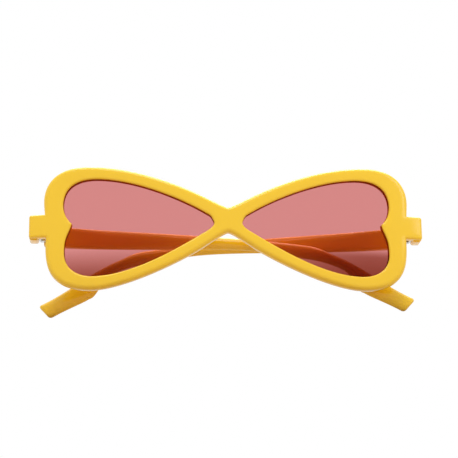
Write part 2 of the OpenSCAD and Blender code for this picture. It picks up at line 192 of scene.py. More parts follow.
def blend_shaders(tree, factor, first, second):
    return add_node(tree, "ShaderNodeMixShader", **{"0": factor, "1": first, "2": second})[0]


floor_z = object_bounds()[0][2] - table_gap
bpy.ops.mesh.primitive_plane_add(size=table_size, location=(0.0, 0.0, floor_z))
floor = bpy.context.object
floor.name = "floor"
floor_finish, tree = new_finish("table_top")
from_camera, from_gloss, through_glass = rays(tree)
looked_at = from_camera + from_gloss + through_glass
facing_away = add_node(tree, "ShaderNodeNewGeometry")["Backfacing"]
pale = add_node(tree, "ShaderNodeBsdfDiffuse", Color=table_colour)[0]
where = add_node(tree, "ShaderNodeTexCoord")["Object"]
away = add_node(tree, "ShaderNodeVectorMath", {"operation": "LENGTH"}, Vector=where)["Value"]
glow_range = {"From_Min": glow_from, "From_Max": glow_full, "To_Min": near_glow, "To_Max": far_glow}
paleness = add_node(tree, "ShaderNodeMapRange", Value=away, **glow_range)[0]
glow = add_node(tree, "ShaderNodeEmission", Color=paleness, Strength=1.0)[0]
white_table = add_node(tree, "ShaderNodeAddShader", **{"0": pale, "1": glow})[0]
warm_table = add_node(tree, "ShaderNodeBsdfDiffuse", Color=table_bounce)[0]
table = blend_shaders(tree, looked_at, warm_table, white_table)
clear = add_node(tree, "ShaderNodeBsdfTransparent")[0]
show(tree, blend_shaders(tree, facing_away, table, clear))
floor.data.materials.append(floor_finish)

world = bpy.data.worlds.new("surround")
bpy.context.scene.world = world
world.use_nodes = True
tree = world.node_tree
tree.nodes.clear()
from_camera, from_gloss, through_glass = rays(tree)
looked_at = from_camera + from_gloss + through_glass
direction = add_node(tree, "ShaderNodeTexCoord")["Generated"]
height = add_node(tree, "ShaderNodeSeparateXYZ", Vector=direction)["Z"]
fill_strength = surround + height * surround_rise
fill = add_node(tree, "ShaderNodeBackground", Color=white_colour, Strength=fill_strength)[0]
overhead_range = {"From_Min": overhead_from, "From_Max": overhead_full, "To_Max": overhead_gain}
overhead = add_node(tree, "ShaderNodeMapRange", Value=height, **overhead_range)[0]
white = add_node(tree, "ShaderNodeBackground", Color=white_colour, Strength=1.0 + from_gloss * overhead)[0]
both = blend_shaders(tree, looked_at, fill, white)
world_out = tree.nodes.new("ShaderNodeOutputWorld")
tree.links.new(both.socket, world_out.inputs["Surface"])


def soft_lamp(name, place, width, height, watts):
    """A rectangular lamp that is turned to the glasses."""
    data = bpy.data.lights.new(name, "AREA")
    data.shape = "RECTANGLE"
    data.size = width
    data.size_y = height
    data.energy = watts
    lamp = bpy.data.objects.new(name, data)
    lamp.location = place
    lamp.rotation_euler = (-Vector(place)).to_track_quat("-Z", "Y").to_euler()
    bpy.context.scene.collection.objects.link(lamp)


soft_lamp("key_lamp", place=(-0.2, -0.7, 0.9), width=0.6, height=0.4, watts=3.2)
soft_lamp("side_lamp", place=(0.8, -0.6, 0.45), width=0.4, height=0.4, watts=1.5)
soft_lamp("top_lamp", place=(0.1, 0.35, 1.0), width=0.9, height=0.6, watts=8.5)

# Front.
# Both rims, the bridge and the end pieces are one injection-moulded piece of glossy plastic, bowed
# across the face, with a groove for each lens and a block behind each end piece for the hinge.
front_half_width = 74.0
rim_reach = 68.5
end_root_top_share = 0.9948
end_root_low_share = 0.987
end_mid_share = 0.0032
end_handle_share = 0.01
arc_handle_share = 0.552
rim_height = 47.3
front_thick = 3.6
bow_radius = 300.0
face_edge = 1.5
end_edge = 0.8
back_edge = 0.7
lens_edge = 0.6
wall_lean = 0.5
nose_rest_out = 2.2
nose_rest_at_share = 6.86
nose_rest_half_share = 0.19
nose_rest_fade = 1.15
nose_rest_fullness = 0.8
opening_width = 55.9
opening_height = 37.5
tip_gap = 10.7
groove_depth = 1.0
groove_width = 2.0
groove_middle = 1.75
end_height = 8.8
end_corner = 0.9
block_width = 3.5
block_step = 0.12
block_drop = 0.4
block_corner = 1.0
block_end_edge = 0.3
hinge_out = 7.23
butt_gap = 0.25
face_crown = 0.16
crown_reach = 2.6
face_steps = (0.12, 0.28, 0.5, 0.72, 0.88)
back_steps = (0.72, 0.45, 0.2)
lens_edge_steps = 4
lens_back_steps = 3
face_edge_steps = 6
back_edge_steps = 4
corner_steps = 6
block_end_turns = (30, 60, 90)
cloud_scale, ripple_scale = 38.0, 420.0
ripple_strength, ripple_height = 0.04, 0.2
plastic_roughness, plastic_unevenness = 0.1, 0.05
plastic_ior, plastic_shine = 1.5, 0.35
front_shades = ((0.87, 0.575, 0.026), (0.89, 0.6, 0.031))

# The outlines' nodes, as shares of a width and a height: the place, the heading in degrees and the
# handle's length on the way in, and the handle's length and the heading on the way out.
opening_shares = [
    (0, -0.002, 68.5, 0.033, 0.05, 68.5),
    (0.051, 0.087, 31.9, 0.031, 0.156, 31.9),
    (0.756, 0.461, 4.5, 0.266, 0.134, 4.5),
    (1, 0.228, -86, 0.129, 0.072, -86),
    (0.942, 0.013, -138.8, 0.037, 0.065, -79.9),
    (0.99, -0.302, -92.6, 0.13, 0.084, -92.6),
    (0.794, -0.535, -179.4, 0.123, 0.261, -179.4),
    (0.067, -0.115, 148.4, 0.195, 0.03, 148.4),
]
upper_shares = [
    (0, 0.1175, 0, 0.018, 0.017, 0),
    (0.154, 0.2235, 26.4, 0.074, 0.126, 26.4),
    (0.768, 0.4755, 1.9, 0.249, 0.161, 1.9),
    (1, 0.172, -95, 0.132, 0.02, -95),
]
lower_shares = [
    (0.984, -0.267, -98.6, 0.06, 0.107, -98.6),
    (0.772, -0.527, -173.5, 0.132, 0.185, -173.5),
    (0.139, -0.208, 146.8, 0.138, 0.035, 146.8),
    (0, -0.0858, 180, 0.02, 0, 180),
]
# Which place on the opening faces which on the outline, and the steps from there to the next pair.
rim_knots = [
    (0.5, 0, 4), (1, 0.55, 15), (2, 1.9, 13), (3, 3, 4), (3.5, 4, 2), (3.72, 5, 3), (3.78, 6, 1),
    (4, 6.5, 1), (4.2, 7, 3), (4.26, 8, 2), (4.45, 9, 5), (5, 10, 13), (6, 11, 15), (7, 12.3, 4),
    (7.5, 13, 6), (8.5, 14, 0),
]
middle_z = -lower_shares[-1][1] * rim_height
end_z = middle_z + end_mid_share * rim_height
end_top = end_z + end_height / 2
end_low = end_z - end_height / 2


def sized(shares, width, height, x0, z0):
    """The nodes of a path in mm, from shares of its width and height."""
    nodes = []
    for x, z, turn_in, reach_in, reach_out, turn_out in shares:
        place = (x0 + x * width, z0 + z * height)
        nodes.append((*place, turn_in, reach_in * width, reach_out * width, turn_out))
    return nodes


opening_nodes = sized(opening_shares, opening_width, opening_height, tip_gap / 2, middle_z)
end_handle = end_handle_share * rim_reach
corner_handle = arc_handle_share * end_corner
outline_nodes = (
    sized(upper_shares, rim_reach, rim_height, 0.0, middle_z)
    + [
        (end_root_top_share * rim_reach, end_top, -95, end_handle, end_handle, 0),
        (front_half_width - end_corner, end_top, 0, end_handle, corner_handle, 0),
        (front_half_width, end_top - end_corner, -90, corner_handle, end_handle, -90),
        (front_half_width, end_low + end_corner, -90, end_handle, corner_handle, -90),
        (front_half_width - end_corner, end_low, 180, corner_handle, end_handle, 180),
        (end_root_low_share * rim_reach, end_low, 180, end_handle, end_handle, -92),
    ]
    + sized(lower_shares, rim_reach, rim_height, 0.0, middle_z)
)
last_node = len(outline_nodes) - 1
end_first_node, end_last_node = 4, 9
node_gap = 0.001


def heading(angle):
    return np.array([math.cos(math.radians(angle)), math.sin(math.radians(angle))])


def span(nodes, i):
    """The four points of the curve from node i to the next one."""
    x, z, _, _, reach_out, turn_out = nodes[i % len(nodes)]
    next_x, next_z, turn_in, reach_in, _, _ = nodes[(i + 1) % len(nodes)]
    start, end = np.array([x, z], float), np.array([next_x, next_z], float)
    return start, start + reach_out * heading(turn_out), end - reach_in * heading(turn_in), end


def place_on(nodes, v):
    """The place at v, where whole numbers are the nodes."""
    i = math.floor(v)
    a, b, c, d = span(nodes, i)
    s = v - i
    return (1 - s) ** 3 * a + 3 * (1 - s) ** 2 * s * b + 3 * (1 - s) * s * s * c + s**3 * d


def travel(nodes, v, arriving):
    """The way a path runs at v, just before it or just after it."""
    i = math.ceil(v) - 1 if arriving else math.floor(v)
    s = min(v - i, 1 - node_gap) if arriving else max(v - i, node_gap)
    a, b, c, d = span(nodes, i)
    way = (1 - s) ** 2 * (b - a) + 2 * (1 - s) * s * (c - b) + s * s * (d - c)
    return way / np.linalg.norm(way)


def left_of(nodes, v, first=False, last=False):
    """The left-hand normal at v, lengthened at a corner so that an offset keeps its distance."""
    a = travel(nodes, v, not first)
    b = travel(nodes, v, bool(last))
    middle = (a + b) / np.linalg.norm(a + b)
    return np.array([-middle[1], middle[0]]) / float(middle @ b)


def bow(x):
    """How far back the bowed front lies at x."""
    return bow_radius - math.sqrt(bow_radius * bow_radius - x * x)


def opening_at(u, depth):
    """The point at u on the opening, moved out into the rim by a depth."""
    whole = len(opening_nodes)
    v = u - whole if u >= whole else u
    return place_on(opening_nodes, v) + depth * left_of(opening_nodes, whole if v == 0 else v)


def outline_at(v, depth):
    """The point at v on the outline, moved in by a depth. The two ends stay in the middle plane."""
    p = place_on(outline_nodes, v)
    q = p - depth * left_of(outline_nodes, v, v == 0, v == last_node)
    return np.array([0.0, q[1]]) if v in (0, last_node) else q


def knots_split(knots, times):
    """Pairs of places on two paths. Each knot gives the steps to the next one, which times multiplies."""
    places = []
    for (u0, v0, steps), (u1, v1, _) in zip(knots, knots[1:]):
        n = steps * times
        places += [(u0 + (u1 - u0) * j / n, v0 + (v1 - v0) * j / n) for j in range(n)]
    return places


def fillet(radius, steps, to_wall):
    """Depths in from the wall and from the face round a quarter circle, towards the wall or away."""
    pairs = []
    for j in range(steps + 1):
        a = math.pi / 2 * j / steps
        pairs.append((radius * (1 - math.sin(a)), radius * (1 - math.cos(a))))
    return pairs if to_wall else pairs[::-1]


finer = 3
line_step = 0.02
rim_places = knots_split(rim_knots, finer)
opening_line = np.array([place_on(opening_nodes, v) for v in np.arange(0, len(opening_nodes), line_step)])
outline_line = np.array([place_on(outline_nodes, v) for v in np.arange(0, last_node, line_step)])
edge_line = np.vstack([opening_line, outline_line, outline_line * [-1, 1]])


def crown(p):
    """How far the face swells forward at p: nothing at its edges, most along the middle of a rim."""
    gap = math.sqrt(float(((edge_line - p) ** 2).sum(1).min()))
    s = 1 - min(gap / crown_reach, 1.0)
    return face_crown * (1 - s * s)


def edge_at(v):
    """The face's rounding along the outline, less round the end pieces."""
    return end_edge + (face_edge - end_edge) * min(1.0, max(0.0, end_first_node - v, v - end_last_node))


def rest_bump(u):
    """How much of a nose rest stands on the opening's edge at u, from none to one."""
    gap = abs(u - nose_rest_at_share) / nose_rest_half_share
    return 0.0 if gap > 1 else math.cos(math.pi / 2 * gap) ** 2


def thick_at_rest(u, share):
    """The front's thickness with that share of the nose rest on it."""
    return front_thick + nose_rest_out * rest_bump(u) * share


def leaned(y):
    """The openings' walls lean with the bowed face, so they close in a little behind it."""
    return 1 - wall_lean * (y - lens_edge) / bow_radius


def rim_section(u, v):
    """One section of the rim, from the opening's front edge round to the groove.

    Past the outline's last node a section ends in the middle plane, between the outline's two ends.
    """
    on_seam = v > last_node
    thick = thick_at_rest(u, 1.0)
    points = []

    def outer(depth):
        return outside if on_seam else outline_at(v, depth)

    def inner(depth, y, swell=False):
        p = opening_at(u, depth)
        x = p[0] * leaned(y)
        points.append((x, bow(x) + y - (crown(p) if swell else 0.0), p[1]))

    for depth, y in fillet(lens_edge, lens_edge_steps, False):
        inner(depth, y, True)
    inside = opening_at(u, lens_edge)
    if on_seam:
        low = outline_nodes[last_node][1] + face_edge
        top = outline_nodes[0][1] - face_edge
        outside = np.array([0.0, low + (v - last_node) * (top - low)])
    else:
        outside = outline_at(v, edge_at(v))
    for s in face_steps:
        p = inside + s * (outside - inside)
        points.append((p[0], bow(p[0]) - crown(p), p[1]))
    for depth, y in fillet(face_edge if on_seam else edge_at(v), face_edge_steps, True):
        p = outer(depth)
        points.append((p[0], bow(p[0]) + (0.0 if on_seam else y) - crown(p), p[1]))
    for depth, y in fillet(back_edge, back_edge_steps, False):
        p = outer(depth)
        points.append((p[0], bow(p[0]) + front_thick - (0.0 if on_seam else y), p[1]))
    back_in = opening_at(u, lens_edge) * [leaned(front_thick), 1]
    back_out = outer(back_edge)
    for s in back_steps:
        p = back_in + s * (back_out - back_in)
        slope = math.cos(math.pi / 2 * min(1.0, s * nose_rest_fade)) ** nose_rest_fullness
        points.append((p[0], bow(p[0]) + thick_at_rest(u, slope), p[1]))
    for depth, y in fillet(lens_edge, lens_back_steps, True):
        inner(depth, thick - y)
    groove_front = groove_middle - groove_width / 2
    groove_back = groove_middle + groove_width / 2
    inner(0.0, groove_back)
    inner(groove_depth, groove_back)
    inner(groove_depth, groove_front)
    inner(0.0, groove_front)
    return points


def loft(sections, skip):
    """Joins a closed ring of closed sections with four-sided faces, but for those to skip."""
    n, k = len(sections), len(sections[0])
    faces = []
    for i in range(n):
        for j in range(k):
            if not skip(i, j):
                here, there, beside = i * k, ((i + 1) % n) * k, (j + 1) % k
                faces.append((here + j, here + beside, there + beside, there + j))
    return faces


rim_sections = [rim_section(u, v) for u, v in rim_places]
seam_first = lens_edge_steps + 1 + len(face_steps)
seam_last = seam_first + face_edge_steps + 1 + back_edge_steps


def in_seam(i, j):
    """Faces that would lie in the middle plane, where the two halves of the bridge meet."""
    here = rim_places[i][1]
    there = rim_places[(i + 1) % len(rim_places)][1]
    flat = (here == 0 or here >= last_node) and (there == 0 or there >= last_node)
    return flat and seam_first <= j < seam_last


def plain_mesh(name, points, faces):
    mesh = bpy.data.meshes.new(name)
    mesh.from_pydata([tuple(p) for p in points], [], faces)
    mesh.validate()
    thing = bpy.data.objects.new(name, mesh)
    bpy.context.scene.collection.objects.link(thing)
    return thing


weld_reach = 1e-6
seam_reach = 2e-6


def weld(thing, reach=weld_reach):
    """Merges doubled points, drops faces of no area and turns every face outwards."""
    bm = bmesh.new()
    bm.from_mesh(thing.data)
    bmesh.ops.remove_doubles(bm, verts=bm.verts, dist=reach)
    bmesh.ops.dissolve_degenerate(bm, edges=bm.edges, dist=reach / 10)
    bmesh.ops.recalc_face_normals(bm, faces=bm.faces)
    bm.to_mesh(thing.data)
    bm.free()


def smooth(thing, angle_deg):
    thing.data.shade_smooth()
    thing.data.set_sharp_from_angle(angle=math.radians(angle_deg))


half_points = np.array([p for section in rim_sections for p in section])
half_faces = loft(rim_sections, in_seam)
count = len(half_points)
front_points = np.vstack([half_points, half_points * [-1, 1, 1]])
front_points[:, 1] -= front_thick / 2
front_faces = half_faces + [tuple(i + count for i in face[::-1]) for face in half_faces]
front = plain_mesh("sunglasses_front", front_points * MM, front_faces)
weld(front, seam_reach)


def blend_colour(tree, factor, first, second):
    """A Mix node set to colours, whose sockets share their names with others and go by number."""
    sockets = {"0": factor, "6": first, "7": second}
    return add_node(tree, "ShaderNodeMix", {"data_type": "RGBA"}, **sockets)[2]


def glossy_plastic(name, first, second):
    """Polished moulded plastic, with faint clouds of colour and soft ripples in its skin."""
    finish, tree = new_finish(name)
    where = add_node(tree, "ShaderNodeTexCoord")["Object"]
    clouds = add_node(tree, "ShaderNodeTexNoise", Vector=where, Scale=cloud_scale, Detail=2.0)[0]
    ripple = add_node(tree, "ShaderNodeTexNoise", Vector=where, Scale=ripple_scale, Detail=2.0)[0]
    bump = {"Height": ripple, "Strength": ripple_strength, "Distance": ripple_height * MM}
    plastic = add_node(
        tree,
        "ShaderNodeBsdfPrincipled",
        Base_Color=blend_colour(tree, clouds, first, second),
        Roughness=plastic_roughness + clouds * plastic_unevenness,
        Normal=add_node(tree, "ShaderNodeBump", **bump)[0],
        IOR=plastic_ior,
        Specular_IOR_Level=plastic_shine,
    )[0]
    show(tree, plastic)
    return finish


front_plastic = glossy_plastic("front_plastic", *front_shades)


def ring_faces(rings, k):
    """Four-sided faces between each ring of k points and the next one."""
    pairs = [(r * k + j, r * k + (j + 1) % k) for r in range(rings - 1) for j in range(k)]
    return [(a, b, b + k, a + k) for a, b in pairs]


def end_block(side):
    """The block behind an end piece: a bar with rounded long edges, closed at both ends."""
    outer = front_half_width - block_step
    inner = outer - block_width
    start = bow(inner) + front_thick / 4
    butt = bow(front_half_width) + hinge_out - front_thick / 2 - butt_gap / 2
    low, top = end_low - block_drop, end_top - block_step
    r = block_corner
    ring = []
    corners = (
        (outer - r, top - r, 0),
        (inner + r, top - r, 90),
        (inner + r, low + r, 180),
        (outer - r, low + r, 270),
    )
    for x, z, first_turn in corners:
        for j in range(corner_steps + 1):
            a = math.radians(first_turn + 90 * j / corner_steps)
            ring.append((x + r * math.cos(a), z + r * math.sin(a), math.cos(a), math.sin(a)))
    rows = [(start, 0.0), (butt - block_end_edge, 0.0)]
    for turn in block_end_turns:
        a = math.radians(turn)
        back = block_end_edge * math.sin(a)
        rows.append((butt - block_end_edge + back, block_end_edge * (1 - math.cos(a))))
    points = [(side * (x - pull * nx), y, z - pull * nz) for y, pull in rows for x, z, nx, nz in ring]
    k = len(ring)
    faces = ring_faces(len(rows), k)
    faces += [tuple(range(k)), tuple(range((len(rows) - 1) * k, len(rows) * k))]
    return points, faces


for side in (-1, 1):
    points, faces = end_block(side)
    block = plain_mesh("end_block", np.array(points) * MM, faces)
    weld(block)
    union = front.modifiers.new("union", "BOOLEAN")
    union.operation = "UNION"
    union.solver = "MANIFOLD"
    union.object = block
    fused = front.evaluated_get(bpy.context.evaluated_depsgraph_get())
    front.data = bpy.data.meshes.new_from_object(fused)
    front.modifiers.remove(union)
    bpy.data.objects.remove(block)
weld(front)
front.data.materials.clear()
front.data.materials.append(front_plastic)
smooth(front, angle_deg=40.0)
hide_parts("front_frame")
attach(front, "front")

# Lenses.
# Two lenses of polished polycarbonate, dusty pink, cut to the heart outline, bowed like the front and snapped
# into its groove.
# Their tint grows darker towards the bottom, most of all on the wearer's left: painted shadow, the shade
# behind the lower lens seen through it.
lens_thick = 1.8
lens_room = 0.12
lens_grown = groove_depth - lens_room
lens_middle_x = 42.0
lens_middle_drop = 1.5
lens_middle = np.array([lens_middle_x, middle_z - lens_middle_drop])
lens_rings = 14
lens_ring_power = 0.8
lens_tint = (0.835, 0.512, 0.503)
# The darker tint is painted shadow put into the lens's colour, not a tint the lens has.
lens_painted_shadow_tint = (0.46, 0.165, 0.115)
lens_haze = ((0.30, 0.05, 0.045), (0.34, 0.06, 0.055))
haze_scale = 90.0
lens_roughness, lens_unevenness = 0.04, 0.04
lens_ior = 1.45
shadow_from, shadow_full, shadow_share = -5.5, -17.5, 0.8
left_shadow_from, left_shadow_full = -4.0, -8.5
left_from, left_full, left_share = 0.0, 55.0, 0.6
lens_line = [opening_at(u, lens_grown) * [leaned(groove_middle), 1] for u, _ in rim_places]

lens_finish, tree = new_finish("lens_tint")
where = add_node(tree, "ShaderNodeTexCoord")["Object"]
parts = add_node(tree, "ShaderNodeSeparateXYZ", Vector=where)
across, up = parts["X"], parts["Z"]


def fade(value, start, end, kind, most=1.0):
    """Nothing before start, most past end, both in mm."""
    settings = {"interpolation_type": kind}
    ends = {"From_Min": start * MM, "From_Max": end * MM, "To_Max": most}
    return add_node(tree, "ShaderNodeMapRange", settings, Value=value, **ends)[0]


# Painted shadow: the lens darkens towards the bottom, more on the wearer's left.
low_shadow = fade(up, shadow_from, shadow_full, "LINEAR")
left_half = fade(across, left_from, left_full, "SMOOTHSTEP", left_share)
left_low_shadow = fade(up, left_shadow_from, left_shadow_full, "SMOOTHSTEP")
plain = add_node(tree, "ShaderNodeBsdfTransparent", Color=lens_tint)[0]
painted_shadow = add_node(tree, "ShaderNodeBsdfTransparent", Color=lens_painted_shadow_tint)[0]
shadow_amount = low_shadow * (shadow_share - left_low_shadow * left_half * shadow_share) + left_low_shadow * left_half
through = blend_shaders(tree, shadow_amount, plain, painted_shadow)
haze = add_node(tree, "ShaderNodeTexNoise", Vector=where, Scale=haze_scale, Detail=3.0)[0]
polish = add_node(
    tree,
    "ShaderNodeBsdfPrincipled",
    Base_Color=blend_colour(tree, haze, *lens_haze),
    Roughness=lens_roughness + haze * lens_unevenness,
    IOR=plastic_ior,
)[0]
# The Fresnel node turns its index over on a back face, so there it is given one turned over already.
from_inside = add_node(tree, "ShaderNodeNewGeometry")["Backfacing"]
same_both_ways = lens_ior - from_inside * (lens_ior - 1 / lens_ior)
shine = add_node(tree, "ShaderNodeFresnel", IOR=same_both_ways)[0]
show(tree, blend_shaders(tree, shine, through, polish))


def new_maker(name, *sizes):
    """A geometry tree with named sizes and a material, which end_maker() ends, and its inputs by name."""
    tree = bpy.data.node_groups.new(name, "GeometryNodeTree")
    tree.interface.new_socket("Geometry", in_out="INPUT", socket_type="NodeSocketGeometry")
    for label in sizes:
        tree.interface.new_socket(label, in_out="INPUT", socket_type="NodeSocketFloat")
    tree.interface.new_socket("Material", in_out="INPUT", socket_type="NodeSocketMaterial")
    tree.interface.new_socket("Geometry", in_out="OUTPUT", socket_type="NodeSocketGeometry")
    start = tree.nodes.new("NodeGroupInput")
    return tree, {out.name: Wire(tree, out) for out in start.outputs if out.name}


def end_maker(tree, shape, finish):
    real = add_node(tree, "GeometryNodeRealizeInstances", Geometry=shape)[0]
    done = add_node(tree, "GeometryNodeSetMaterial", Geometry=real, Material=finish)[0]
    tree.links.new(done.socket, tree.nodes.new("NodeGroupOutput").inputs[0])


def run_maker(thing, tree, finish, **sizes):
    """Runs a geometry tree on an object and keeps the result as its plain mesh."""
    values = {name.replace("_", " "): float(value) * MM for name, value in sizes.items()}
    values["Material"] = finish
    step = thing.modifiers.new("maker", "NODES")
    step.node_group = tree
    for item in tree.interface.items_tree:
        if item.in_out == "INPUT" and item.name in values:
            step[item.identifier] = values[item.name]
    made = thing.evaluated_get(bpy.context.evaluated_depsgraph_get())
    mesh = bpy.data.meshes.new_from_object(made)
    thing.modifiers.remove(step)
    thing.data = mesh


def joined(tree, *shapes):
    """Shapes in one geometry, with the points that they share merged."""
    together = tree.nodes.new("GeometryNodeJoinGeometry")
    for shape in shapes:
        tree.links.new(shape.socket, together.inputs[0])
    whole = Wire(tree, together.outputs[0])
    return add_node(tree, "GeometryNodeMergeByDistance", Geometry=whole, Distance=weld_reach)[0]


def extrude(tree, **inputs):
    return add_node(tree, "GeometryNodeExtrudeMesh", {"mode": "FACES"}, Individual=False, **inputs)


def vector(tree, **parts):
    return add_node(tree, "ShaderNodeCombineXYZ", **parts)[0]


sheet_maker, size = new_maker("bowed_sheet", "Thickness", "Bow Radius", "Back")
thickened = extrude(sheet_maker, Mesh=size["Geometry"], Offset_Scale=size["Thickness"])[0]
turned = add_node(sheet_maker, "GeometryNodeFlipFaces", Mesh=size["Geometry"])[0]
closed = joined(sheet_maker, thickened, turned)
place = add_node(sheet_maker, "GeometryNodeInputPosition")[0]
across = add_node(sheet_maker, "ShaderNodeSeparateXYZ", Vector=place)["X"]
radius = size["Bow Radius"]
square = radius * radius - across * across
swept = add_node(sheet_maker, "ShaderNodeMath", {"operation": "SQRT"}, **{"0": square})[0]
offset = vector(sheet_maker, Y=size["Back"] + radius - swept)
bowed = add_node(sheet_maker, "GeometryNodeSetPosition", Geometry=closed, Offset=offset)[0]
end_maker(sheet_maker, bowed, size["Material"])


def make_lens(name, side, node):
    """One lens: rings of points on a flat heart that looks along -Y, which the maker thickens and bows."""
    points = []
    n = len(lens_line)
    for r in range(1, lens_rings + 1):
        s = (r / lens_rings) ** lens_ring_power
        for p in lens_line:
            q = lens_middle + s * (p - lens_middle)
            points.append((side * q[0], 0.0, q[1]))
    points.append((side * lens_middle[0], 0.0, lens_middle[1]))
    faces = ring_faces(lens_rings, n) + [(len(points) - 1, (i + 1) % n, i) for i in range(n)]
    thing = plain_mesh(name, np.array(points) * MM, faces)
    if thing.data.polygons[0].normal.y > 0:
        thing.data.flip_normals()
    back = groove_middle + lens_thick / 2 - front_thick / 2
    run_maker(thing, sheet_maker, lens_finish, Thickness=lens_thick, Bow_Radius=bow_radius, Back=back)
    smooth(thing, angle_deg=40.0)
    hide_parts(node)
    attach(thing, "front")


make_lens("heart_lens_right", -1, "right_lens")
make_lens("heart_lens_left", 1, "left_lens")

# Temples.
# Each temple is one moulding of the same plastic with no wire core: deep and boxy at the hinge,
# slimmer and rounder along its length, bent down and widened into a paddle behind the ear.
temple_length = 140.5
temple_root = 3.5
temple_ear = 3.2
temple_tip = 1.2
temple_butt_edge = 0.25
temple_butt_turns = (90, 60, 30, 0)
tip_turns = (0, 15, 30, 45, 60, 72, 82, 88)
inner_fold = -1.3
outer_fold = 3.8
knuckle = 1.3
knuckle_room = 0.2
root_round_share = 0.3
ear_round_share = 1.05
boxy_share = 0.04
rounding_share = 0.14
hinge_drop_share = 0.0127
# Darker and more orange than the front's colours: painted shade for the temples' place behind the front and
# the lenses.
temple_shades_with_painted_shade = ((0.81, 0.525, 0.016), (0.84, 0.555, 0.02))
hinge_x = front_half_width - block_step - block_width - knuckle - knuckle_room
hinge_y = bow(front_half_width) + hinge_out - front_thick / 2
hinge_z = middle_z - hinge_drop_share * rim_height
temple_off = knuckle + knuckle_room + temple_root / 2

temple_top_shares = [
    (0.0009, 0.022, -4.3, 0, 0.223, -4.3),
    (0.707, -0.033, -7.6, 0.222, 0.04, -7.6),
    (0.7807, -0.0585, -22.8, 0.024, 0.094, -22.8),
    (0.9912, -0.1807, -25.6, 0.091, 0, -25.6),
]
temple_low_shares = [
    (0.0009, -0.0339, -5.2, 0, 0.2, -5.2),
    (0.56, -0.047, -4.5, 0.14, 0.05, -4.5),
    (0.712, -0.071, -8, 0.05, 0.045, -8),
    (0.8124, -0.1049, -38.5, 0.015, 0.023, -38.5),
    (0.8443, -0.1521, -52.6, 0.02, 0.018, -52.6),
    (0.8662, -0.1683, -31.7, 0.013, 0.017, -31.7),
    (0.9597, -0.2149, -29.7, 0.041, 0, -29.7),
]
top_nodes = sized(temple_top_shares, temple_length, temple_length, 0.0, middle_z)
low_nodes = sized(temple_low_shares, temple_length, temple_length, 0.0, middle_z)
# Which place on the top edge faces which on the bottom edge, and the steps from there to the next pair.
temple_knots = [(0, 0, 8), (0.79, 1, 3), (1, 2, 6), (2.03, 3, 5), (2.44, 4, 4), (2.55, 5, 6), (3, 6, 0)]
top_end, low_end = temple_knots[-1][:2]
section_points = 40


def temple_section(u, v, turn):
    """A rounded section from u on the top edge to v on the bottom edge, turned round the tip in degrees."""
    top, low = place_on(top_nodes, u), place_on(low_nodes, v)
    along = travel(top_nodes, u, u >= top_end) + travel(low_nodes, v, v >= low_end)
    along /= np.linalg.norm(along)
    pull = temple_tip * (1 - math.cos(math.radians(turn)))
    middle = (top + low) / 2 + temple_tip * math.sin(math.radians(turn)) * along
    up = (top - low) / 2 - pull * (top - low) / np.linalg.norm(top - low)
    share = min(1.0, middle[0] / temple_length)
    thick = temple_root + share * (temple_ear - temple_root)
    half = thick / 2 - pull
    rounder = min(1.0, max(0.0, (share - boxy_share) / rounding_share))
    power = root_round_share + (ear_round_share - root_round_share) * rounder
    ring = []
    for k in range(section_points):
        a = 2 * math.pi * k / section_points
        c, s = math.cos(a), math.sin(a)
        out = math.copysign(abs(c) ** power, c)
        p = middle + math.copysign(abs(s) ** power, s) * up
        ring.append((p[0], temple_off + half * out - (temple_root - thick) / 2, p[1] - hinge_z))
    return ring


def fold(points, side):
    """Turns points in mm, drawn from the hinge axis, into the folded pose at their own side."""
    angle = math.radians(inner_fold if side < 0 else outer_fold)
    c, s = math.cos(angle), math.sin(angle)
    out = np.array(points, float)
    x = -hinge_x + c * out[:, 0] - s * out[:, 1]
    y = hinge_y + s * out[:, 0] + c * out[:, 1]
    return np.stack([-side * x, y, out[:, 2] + hinge_z], axis=1)


temple_plastic = glossy_plastic("temple_plastic", *temple_shades_with_painted_shade)


def make_temple(name, side, node, body):
    """One temple, from its rounded butt at the hinge to its tip, turned into the folded pose."""
    sections = [temple_section(u, v, 0) for u, v in knots_split(temple_knots, 2 * finer)]
    sections += [temple_section(top_end, low_end, turn) for turn in tip_turns]
    sections = [np.array(section) for section in sections]
    first = sections[0]
    centre = first.mean(0)
    spread = np.linalg.norm((first - centre)[:, 1:], axis=1)[:, None]
    lead = []
    for turn in temple_butt_turns:
        a = math.radians(turn)
        ring = centre + (first - centre) * (1 - temple_butt_edge * (1 - math.cos(a)) / spread)
        ring[:, 0] = first[:, 0] + temple_butt_edge * (1 - math.sin(a))
        lead.append(ring)
    sections = lead + sections[1:]
    k = section_points
    points = [*np.vstack(sections), sections[0].mean(0), sections[-1].mean(0)]
    faces = ring_faces(len(sections), k)
    for start, middle in ((0, len(points) - 2), (len(points) - 2 - k, len(points) - 1)):
        faces += [(start + j, start + (j + 1) % k, middle) for j in range(k)]
    thing = plain_mesh(name, fold(points, side) * MM, faces)
    weld(thing)
    thing.data.materials.append(temple_plastic)
    smooth(thing, angle_deg=50.0)
    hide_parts(node)
    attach(thing, body)


make_temple("temple_arm_right", -1, "right_temple", "right_temple")
make_temple("temple_arm_left", 1, "left_temple", "left_temple")

# Hinges.
# Each hinge is two stamped nickel silver leaves with interleaved knuckles, lightly brushed. The leaves
# stay as the solids give them.
leaf_shades = ((0.50, 0.49, 0.47), (0.66, 0.65, 0.63))
brushed_along = (1.0, 1.0, 14.0)
brush_scale = 900.0
brush_strength, brush_depth = 0.12, 0.05
leaf_roughness, leaf_unevenness = 0.24, 0.16

